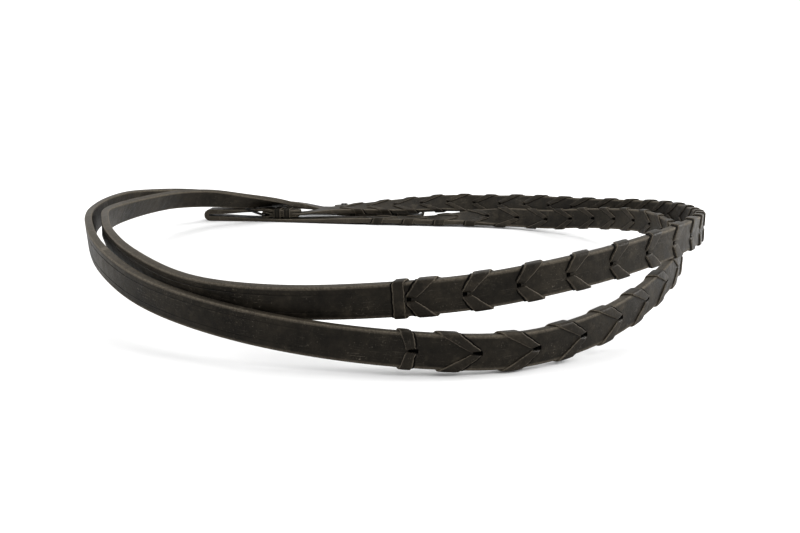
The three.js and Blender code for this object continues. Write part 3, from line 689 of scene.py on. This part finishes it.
# ---- materials ------------------------------------------------------------------------
class Nodes:
    """A small helper for building one material's node tree."""

    def __init__(self, name):
        self.mat = bpy.data.materials.new(name)
        self.mat.use_nodes = True
        self.tree = self.mat.node_tree
        self.tree.nodes.clear()
        self.out = self.tree.nodes.new("ShaderNodeOutputMaterial")
        self.bsdf = self.tree.nodes.new("ShaderNodeBsdfPrincipled")
        self.link(self.bsdf.outputs[0], self.out.inputs["Surface"])

    def link(self, a, b):
        self.tree.links.new(a, b)

    def add(self, kind, **settings):
        node = self.tree.nodes.new(kind)
        for key, value in settings.items():
            setattr(node, key, value)
        return node

    def value(self, name):
        return self.add("ShaderNodeAttribute", attribute_name=name).outputs["Fac"]

    def place(self, scale=(1, 1, 1)):
        coord = self.add("ShaderNodeTexCoord").outputs["Object"]
        if scale == (1, 1, 1):
            return coord
        mapping = self.add("ShaderNodeMapping")
        mapping.inputs["Scale"].default_value = scale
        self.link(coord, mapping.inputs["Vector"])
        return mapping.outputs[0]

    def noise(self, vector, scale, detail=3, rough=0.55):
        node = self.add("ShaderNodeTexNoise")
        node.inputs["Scale"].default_value = scale
        node.inputs["Detail"].default_value = detail
        node.inputs["Roughness"].default_value = rough
        self.link(vector, node.inputs["Vector"])
        return node.outputs["Fac"]

    def cells(self, vector, scale):
        node = self.add("ShaderNodeTexVoronoi", feature="F1")
        node.inputs["Scale"].default_value = scale
        self.link(vector, node.inputs["Vector"])
        return node.outputs["Distance"]

    def ramp(self, fac, stops):
        node = self.add("ShaderNodeValToRGB")
        bar = node.color_ramp
        while len(bar.elements) < len(stops):
            bar.elements.new(0.5)
        for element, (at, colour) in zip(bar.elements, stops):
            element.position = at
            c = (colour,) * 3 if isinstance(colour, (int, float)) else colour
            element.color = (*c, 1)
        self.link(fac, node.inputs["Fac"])
        return node.outputs["Color"]

    def math(self, op, a, b=None, c=None):
        node = self.add("ShaderNodeMath", operation=op)
        for socket, v in zip(node.inputs, (a, b, c)):
            if v is None:
                continue
            if isinstance(v, (int, float)):
                socket.default_value = v
            else:
                self.link(v, socket)
        return node.outputs[0]

    def mix(self, fac, a, b, blend="MIX"):
        node = self.add("ShaderNodeMix", data_type="RGBA", blend_type=blend)
        for socket, v in ((node.inputs["Factor"], fac), (node.inputs[6], a), (node.inputs[7], b)):
            if isinstance(v, (int, float)):
                socket.default_value = v
            elif isinstance(v, tuple):
                socket.default_value = (*v, 1)
            else:
                self.link(v, socket)
        return node.outputs[2]

    def bump(self, height, strength, distance, under=None):
        node = self.add("ShaderNodeBump")
        node.inputs["Strength"].default_value = strength
        node.inputs["Distance"].default_value = distance
        self.link(height, node.inputs["Height"])
        if under is not None:
            self.link(under, node.inputs["Normal"])
        return node.outputs["Normal"]

    def run(self, along_scale, across_scale):
        """A vector that follows the strap, for marks that run along it."""
        node = self.add("ShaderNodeCombineXYZ")
        self.link(self.math("MULTIPLY", self.value("along"), along_scale), node.inputs["X"])
        self.link(self.math("MULTIPLY", self.value("across"), across_scale), node.inputs["Y"])
        return node.outputs[0]


def leather(name, dark, light, worn_and_highlight_colour, edge_gain=1.0, rough=(0.42, 0.6), strands=False):
    """Dyed leather, paler on its worn raw edges with a painted highlight along them, and painted
    shade, near black, in its creases and recesses.
    """
    k = Nodes(name)
    at = k.place()
    broad = k.noise(at, 34, 4, 0.6)
    mottle = k.noise(at, 210, 5, 0.65)
    grain = k.noise(at, 1500, 3, 0.6)
    tone = k.math("ADD", k.math("MULTIPLY", broad, 0.55), k.math("MULTIPLY", mottle, 0.45))
    colour = k.ramp(tone, [(0.33, dark), (0.5, tuple((a + b) / 2.4 for a, b in zip(dark, light))),
                           (0.68, light)])
    # rubbed places where the finish has gone
    rub = k.ramp(k.noise(at, 95, 6, 0.7), [(0.56, 0.0), (0.74, 1.0)])
    colour = k.mix(k.math("MULTIPLY", rub, 0.45), colour, tuple(min(1, 2.2 * c) for c in light))
    # fine scuffs that run along the strap (wear), and pale points on the grain that are painted
    # glints
    scuff = k.ramp(k.noise(k.run(90, 2600), 1.0, 4, 0.7), [(0.6, 0.0), (0.76, 1.0)])
    grain_glint = k.ramp(k.noise(at, 1150, 4, 0.7), [(0.6, 0.0), (0.74, 1.0)])
    scuffs_and_glints = k.math("MULTIPLY", k.math("MAXIMUM", scuff, grain_glint),
                   k.ramp(k.noise(at, 46, 4, 0.6), [(0.42, 0.05), (0.66, 0.8)]))
    colour = k.mix(scuffs_and_glints, colour, (0.19, 0.168, 0.14))
    # the raw edge: pale worn fibres with dark dye between them, and a painted highlight along its
    # corners
    fibre = k.ramp(k.noise(at, 900, 5, 0.7), [(0.36, 0.0), (0.62, 1.0)])
    edge_wear_and_highlight = k.math("MULTIPLY", k.value("edge_wear_and_highlight"), edge_gain)
    edge_wear_and_highlight = k.math("MULTIPLY", edge_wear_and_highlight, k.math("ADD", k.math("MULTIPLY", fibre, 0.6), 0.4))
    colour = k.mix(edge_wear_and_highlight, colour, worn_and_highlight_colour)
    # painted shade: near black in the creases, slot floors, hole rims, the laces inside slots and
    # the skirts beside lace borders
    colour = k.mix(k.math("MULTIPLY", k.value("crease_shade"), 0.95), colour, (0.0012, 0.001, 0.0008))
    k.link(colour, k.bsdf.inputs["Base Color"])
    gloss = k.ramp(k.math("ADD", k.math("MULTIPLY", mottle, 0.7), k.math("MULTIPLY", grain, 0.3)),
                   [(0.35, rough[0]), (0.65, rough[1])])
    gloss = k.mix(k.value("edge_wear_and_highlight"), gloss, (0.72, 0.72, 0.72))
    gloss = k.mix(k.value("crease_shade"), gloss, (0.95, 0.95, 0.95))
    k.link(gloss, k.bsdf.inputs["Roughness"])
    pits = k.ramp(k.cells(at, 620), [(0.0, 0.0), (0.32, 1.0)])
    normal = k.bump(k.noise(at, 120, 3, 0.5), 0.5, 0.0007)
    normal = k.bump(pits, 0.28, 0.00022, normal)
    normal = k.bump(grain, 0.4, 0.0002, normal)
    if strands:
        lines = k.noise(k.run(60, 1600), 1.0, 3, 0.6)
        normal = k.bump(lines, 0.25, 0.0002, normal)
    k.link(normal, k.bsdf.inputs["Normal"])
    k.bsdf.inputs["Specular IOR Level"].default_value = 0.13
    return k.mat


def metal(name, colour, rough):
    """Plain metal with a little tarnish."""
    k = Nodes(name)
    at = k.place()
    tone = k.noise(at, 300, 4, 0.6)
    k.link(k.ramp(tone, [(0.3, tuple(c * 0.8 for c in colour)), (0.7, colour)]),
           k.bsdf.inputs["Base Color"])
    k.link(k.ramp(k.noise(at, 1400, 3, 0.6), [(0.3, rough), (0.7, rough + 0.16)]),
           k.bsdf.inputs["Roughness"])
    k.link(k.bump(tone, 0.1, 0.0001), k.bsdf.inputs["Normal"])
    k.bsdf.inputs["Metallic"].default_value = 1.0
    return k.mat


def thread(name):
    """Waxed sewing thread."""
    k = Nodes(name)
    tone = k.noise(k.place(), 2600, 3, 0.6)
    k.link(k.ramp(tone, [(0.3, (0.012, 0.010, 0.009)), (0.7, (0.05, 0.042, 0.036))]),
           k.bsdf.inputs["Base Color"])
    k.link(k.bump(tone, 0.4, 0.0001), k.bsdf.inputs["Normal"])
    k.bsdf.inputs["Roughness"].default_value = 0.7
    return k.mat


DARK = (0.0042, 0.0033, 0.0021)
LIGHT = (0.0295, 0.0247, 0.0178)
# the pale colour of worn raw edges, also used as a painted highlight along them
WORN_AND_HIGHLIGHT = (0.155, 0.134, 0.105)
rein_leather = leather("dark_rein_leather", DARK, LIGHT, WORN_AND_HIGHLIGHT, 0.6, strands=True)
lace_leather = leather("dark_lace_leather", (0.0066, 0.0052, 0.0034),
                       (0.0340, 0.0282, 0.0205), WORN_AND_HIGHLIGHT, 0.6, (0.36, 0.55))
steel = metal("polished_steel", (0.62, 0.61, 0.59), 0.16)
gunmetal = metal("gunmetal_plating", (0.035, 0.033, 0.031), 0.34)
stitch_thread = thread("waxed_thread")
looks = {
    "rein_leather": rein_leather, "lace_leather": lace_leather,
    "stud_metal": steel, "buckle_metal": gunmetal,
}

# ---- camera ---------------------------------------------------------------------------
camera_data = bpy.data.cameras.new("camera")
camera_data.lens = 38.25
camera_data.sensor_width = 36
camera = bpy.data.objects.new("camera", camera_data)
camera.location = (0.0129, -0.5939, 0.1243)
camera.rotation_euler = (math.radians(77.93), 0, 0)
bpy.context.scene.collection.objects.link(camera)
bpy.context.scene.camera = camera

# ---- straps ----------------------------------------------------------------------------
def tip_at(rein, x, top):
    """Distance along a rein's tail where it is x mm along the joint line."""
    rel = (rein.p - JOIN) / MM
    xs, zs = rel @ ALONG, rein.p[:, 2] / MM
    keep = (rein.s > rein.join_at) & ((zs > 7.5) if top else (zs < 7.5))
    order = np.argsort(xs[keep])
    return float(np.interp(x, xs[keep][order], rein.s[keep][order]))


def lace_slots(first, pitch, slots, ahead):
    """The sunk places in a strap where its lace goes in."""
    at = [first + i * pitch for i in range(slots)]
    return [((s - SLOT_BACK) * MM, (s + ahead) * MM, 1.0, 1.3) for s in at]


near_slots = lace_slots(NEAR_FIRST, NEAR_PITCH, NEAR_SLOTS, 2.7)
far_slots = lace_slots(FAR_FIRST, FAR_PITCH, FAR_SLOTS, 0.4)
# Stations are given as start, end and step, and lie closer round a bend or a point.
fold = near.end - 0.094
near_strap = strip(
    "near_rein_leather", near.at,
    [(0.0, fold - 0.016, 2.7 * MM), (fold - 0.016, fold + 0.008, 0.7 * MM),
     (fold + 0.008, near.end - 0.011, 2 * MM), (near.end - 0.011, near.end, 0.7 * MM)],
    near_width, near_thick, rein_leather,
    near_slots + [(tip_at(near, 45, True), tip_at(near, 56.6, True), 1.0, None)],
    [(STUD_S * MM, STUD_HOLE_R * MM), (tip_at(near, 27, True), BUCKLE_HOLE_R * MM),
     (tip_at(near, 73, True), BUCKLE_HOLE_R * MM)],
    (0.09, 0.14, 0.6, 0.735),
)
wrap_start, wrap_end = far.end - 0.050, far.end - 0.020
slot_start = far.end - 0.0455
slot_end = slot_start + 0.0165
far_strap = strip(
    "far_rein_leather", far.at,
    [(0.0, wrap_start, 2.7 * MM), (wrap_start, wrap_end, 0.7 * MM),
     (wrap_end, far.end, 3 * MM)],
    far_width, far_thick, rein_leather,
    far_slots + [(slot_start, slot_end, 1.0, None)],
    [(STUD_S * MM, STUD_HOLE_R * MM)],
    (0.09, 0.14, 0.60, 0.69),
)
near_lace = lace("near_rein_lacing", near, NEAR_FIRST, NEAR_PITCH, NEAR_SLOTS,
                 NEAR_CROSS, 1, 1, lace_leather)
far_lace = lace("far_rein_lacing", far, FAR_FIRST, FAR_PITCH, FAR_SLOTS,
                FAR_CROSS, -1, -1, lace_leather)
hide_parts("near_rein_strap")
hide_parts("far_rein_strap")
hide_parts("near_rein_lace")
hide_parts("far_rein_lace")


# ---- bit ends ----------------------------------------------------------------------------
def billet(name, rein):
    """The folded tab that closes the loop at a rein's bit end."""
    line = smooth(BILLET_PATH, 16)
    run = np.concatenate([[0], np.cumsum(np.linalg.norm(np.diff(line, axis=0), axis=1))])
    slope = unit(np.gradient(line, axis=0))
    total = run[-1] * MM

    def place(s, w, n):
        u = np.asarray(s) / MM
        x = np.interp(u, run, line[:, 0])
        y = np.interp(u, run, line[:, 1])
        tx = np.interp(u, run, slope[:, 0])
        ty = np.interp(u, run, slope[:, 1])
        size = np.hypot(tx, ty)
        n = np.asarray(n) / MM
        return rein.at((x - ty / size * n) * MM, w, (y + tx / size * n) * MM)

    top = [total - 9 * MM, total - 6 * MM, total - 3.6 * MM, total - 1.6 * MM, total - 0.4 * MM,
           total]
    wide = [(a, b * MM) for a, b in zip(top, (15, 13.9, 11.4, 8.0, 5.0, 3.4))]
    stud = float(np.interp(STUD_S, line[120:, 0], run[120:])) * MM
    return strip(name, place, [(0, 0.062, 3 * MM), (0.062, 0.1, 0.9 * MM),
                               (0.1, total - 0.009, 2.5 * MM), (total - 0.009, total, 0.7 * MM)],
                 wide, [(0, BILLET_T * MM)], rein_leather, rounds=[(stud, STUD_HOLE_R * MM)],
                 crease_shade=(0.001, 0.004, total - 0.012, total - 0.006), depth=0.22, corner=0.5)


def hook_stud(name, rein):
    """A turned stud through the strap and both sides of the billet."""
    base, top = -BILLET_N - BILLET_T / 2 - GAP, BILLET_N + BILLET_T / 2 + GAP
    profile = [
        (0.02, base - 0.6), (2.6, base - 0.6), (3.15, base - 0.5), (3.4, base - 0.25),
        (3.35, base - 0.05), (3.1, base), (1.3, base), (1.2, base + 0.2), (1.2, top - 0.2),
        (1.4, top), (2.3, top + 0.05), (2.7, top + 0.25), (2.88, top + 0.6), (2.75, top + 0.95),
        (2.3, top + 1.25), (1.6, top + 1.47), (0.8, top + 1.58), (0.02, top + 1.6),
    ]
    line = smooth(profile, 2)
    turns = np.arange(40) * 2 * math.pi / 40
    loops = np.array([
        rein.at((STUD_S + r * np.cos(turns)) * MM, r * np.sin(turns) * MM,
                np.full(40, n) * MM) for r, n in line
    ])
    return add_mesh(name, loops.reshape(-1, 3), loft(loops), steel)


def bit_end(side, rein, length):
    """Billet, stud, keepers and sewing of one rein."""
    tab = billet(side + "_billet", rein)
    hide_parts(side + "_bit_billet")
    stud = hook_stud(side + "_stud", rein)
    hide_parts(side + "_hook_stud")
    reach = BILLET_N + BILLET_T / 2 + GAP
    for s0, word in zip(BIT_KEEPERS, ("front", "back")):
        def place(x, y, z, s0=s0):
            return rein.at((s0 + np.asarray(x)) * MM, np.asarray(y) * MM, np.asarray(z) * MM)
        loop = keeper(side + "_keeper_" + word, place, KEEPER_HALF_W, -reach, reach,
                      "reins", rein_leather)
        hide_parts(side + "_bit_keeper_" + word)

    def on_rein(x, y, z):
        return rein.at(np.asarray(x) * MM, np.asarray(y) * MM, np.asarray(z) * MM)

    sewn = stitches(side + "_billet_stitching", on_rein, [
        (59.5, 69.4, 5.4, -BILLET_N - BILLET_T / 2), (59.5, 69.4, -5.4, -BILLET_N - BILLET_T / 2),
        (59.5, 69.4, 5.4, BIT_T / 2), (59.5, 69.4, -5.4, BIT_T / 2),
    ], stitch_thread)


exit_point = on_join(66, 0, 9).tolist()
bit_end("near", near, NEAR_LENGTH)
bit_end("far", far, FAR_LENGTH)


# ---- hand buckle ------------------------------------------------------------------------
def buckle_frame():
    """The wire frame, bar and all."""
    y = FRAME_Y
    half = [
        (BAR_X, 0, BAR_Z), (BAR_X, 3, BAR_Z), (BAR_X, 6, BAR_Z), (BAR_X, 8, BAR_Z),
        (BAR_X - 0.1, 9, BAR_Z + 0.04), (BAR_X - 0.7, 9.7, BAR_Z + 0.25),
        (BAR_X - 1.8, y, BAR_Z + 0.65), (BAR_X - 4, y, BAR_Z + 1.4), (BAR_X - 8, y, 8.97),
        (BAR_X - 12, y, 10.33), (FRAME_X + 2.2, y, 11.4), (FRAME_X + 1.1, 9.7, 11.75),
        (FRAME_X + 0.3, 9.1, 12.0), (FRAME_X, 8.2, FRAME_Z), (FRAME_X - 0.1, 6, FRAME_Z + 0.05),
        (FRAME_X - 0.15, 3, FRAME_Z + 0.1), (FRAME_X - 0.15, 0, FRAME_Z + 0.1),
    ]
    ring = half + [(x, -b, z) for x, b, z in half[-2:0:-1]]
    line = smooth(ring + [ring[0]], 5)[:-1]
    radius = np.where(line[:, 0] > BAR_X - 1.2, BAR_R, WIRE_R) * MM
    pts = on_join(line[:, 0], line[:, 1], line[:, 2])
    verts, faces = tube_mesh(pts, radius, closed=True, sides=18)
    return add_mesh("buckle_wire", verts, faces, gunmetal, "buckle_frame")


def buckle_prong():
    """The prong: an eye round the bar and a stem with a rounded tip."""
    turns = np.arange(40) * 2 * math.pi / 40
    ring = on_join(BAR_X + 2.25 * np.cos(turns), 0 * turns, BAR_Z + 2.25 * np.sin(turns))
    eye = tube_mesh(ring, 0.76 * MM, closed=True, sides=14)
    line = smooth([(BAR_X - 1.4, 8.1), (53.5, 9.1), (50, 10.55), (46, 12.2), (42, 13.85),
                   (FRAME_X - 0.4, 14.85), (FRAME_X - 1.5, 15.3), (FRAME_X - 1.9, 15.45)], 5)
    pts = on_join(line[:, 0], 0 * line[:, 0], line[:, 1])
    radius = np.full(len(line), PRONG_R)
    # the last sections round off the tip
    radius[-8:] = (0.89, 0.87, 0.83, 0.77, 0.68, 0.55, 0.38, 0.1)
    stem = tube_mesh(pts, radius * MM, sides=14)
    verts, faces = join_parts([eye, stem])
    return add_mesh("buckle_tongue", verts, faces, gunmetal, "buckle_prong")


wire = buckle_frame()
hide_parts("hand_buckle_frame")
tongue = buckle_prong()
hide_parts("hand_buckle_prong")


def hand_keeper(name, x0, body):
    """A keeper round both straps, from x0 mm along the joint line."""
    def place(x, y, z):
        return on_join(x0 + KEEPER_LEN / 2 + np.asarray(x), y, z)
    return keeper(name, place, KEEPER_HALF_W, 4, 11, body, rein_leather)


fixed = hand_keeper("hand_keeper_sewn", 66, "reins")
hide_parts("hand_keeper_fixed")
running = hand_keeper("hand_keeper_sliding", 75, "running_keeper")
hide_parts("hand_keeper_running")
stitches("chape_stitching", on_join, [
    (64, 87.5, 5.6, 7.8), (64, 87.5, -5.6, 7.8), (64, 87.5, 5.6, 4.32), (64, 87.5, -5.6, 4.32),
], stitch_thread)

for node_name, node in frame["nodes"].items():
    wanted = next(p["material_slot"] for p in frame["record"]["subparts"]
                  if p["node"] == node_name)
    node.data.materials.clear()
    node.data.materials.append(looks[wanted])

# ---- floor and light --------------------------------------------------------------------
floor_look = Nodes("pale_floor")
floor_tone = floor_look.noise(floor_look.place(), 3, 2, 0.5)
floor_look.link(floor_look.ramp(floor_tone, [(0.3, (0.61,) * 3), (0.7, (0.63,) * 3)]),
                floor_look.bsdf.inputs["Base Color"])
# The floor glows a little more with distance, so it fades into the white world.
reach = floor_look.add("ShaderNodeVectorMath", operation="LENGTH")
floor_look.link(floor_look.place(), reach.inputs[0])
floor_look.link(floor_look.ramp(reach.outputs["Value"], [(0.26, (0.0,) * 3), (0.95, (0.4,) * 3)]),
                floor_look.bsdf.inputs["Emission Color"])
floor_look.bsdf.inputs["Emission Strength"].default_value = 1.0
floor_look.bsdf.inputs["Roughness"].default_value = 0.9
floor_look.bsdf.inputs["Specular IOR Level"].default_value = 0.05
floor_mesh = bpy.data.meshes.new("floor")
floor_mesh.from_pydata([(-30, -30, 0), (30, -30, 0), (30, 30, 0), (-30, 30, 0)], [],
                       [(0, 1, 2, 3)])
floor_mesh.materials.append(floor_look.mat)
floor = bpy.data.objects.new("floor", floor_mesh)
bpy.context.scene.collection.objects.link(floor)

world = bpy.data.worlds.new("studio")
bpy.context.scene.world = world
world.use_nodes = True
world.node_tree.nodes["Background"].inputs["Color"].default_value = (1, 1, 1, 1)
world.node_tree.nodes["Background"].inputs["Strength"].default_value = 1.0
bpy.context.scene.view_settings.view_transform = "Standard"
bpy.context.scene.view_settings.look = "Medium High Contrast"


def softbox(name, place, target, size, power):
    """A rectangular lamp at a place, turned to face its target."""
    data = bpy.data.lights.new(name, "AREA")
    data.shape = "RECTANGLE"
    data.size, data.size_y = size
    data.energy = power
    lamp = bpy.data.objects.new(name, data)
    lamp.location = place
    aim = np.array(target, float) - np.array(place, float)
    z = -unit(aim)
    x = unit(np.cross((0, 0, 1), z) if abs(z[2]) < 0.99 else np.array([1.0, 0, 0]))
    y = np.cross(z, x)
    lamp.matrix_world = Matrix([[x[0], y[0], z[0], place[0]], [x[1], y[1], z[1], place[1]],
                                [x[2], y[2], z[2], place[2]], [0, 0, 0, 1]])
    bpy.context.scene.collection.objects.link(lamp)


softbox("top_box", (0.1, 0.3, 1.5), (0, 0, 0), (1.2, 0.8), 9)
softbox("right_box", (1.3, -0.5, 0.7), (0, 0, 0), (0.5, 0.8), 12)
softbox("left_box", (-1.3, -0.1, 0.6), (0, 0, 0), (0.5, 0.8), 5)
softbox("right_rim", (0.75, 0.0, 0.32), (0.2, 0.06, 0.03), (0.3, 0.3), 3.2)
softbox("left_rim", (-0.75, -0.1, 0.32), (-0.2, 0.05, 0.03), (0.3, 0.3), 1.6)
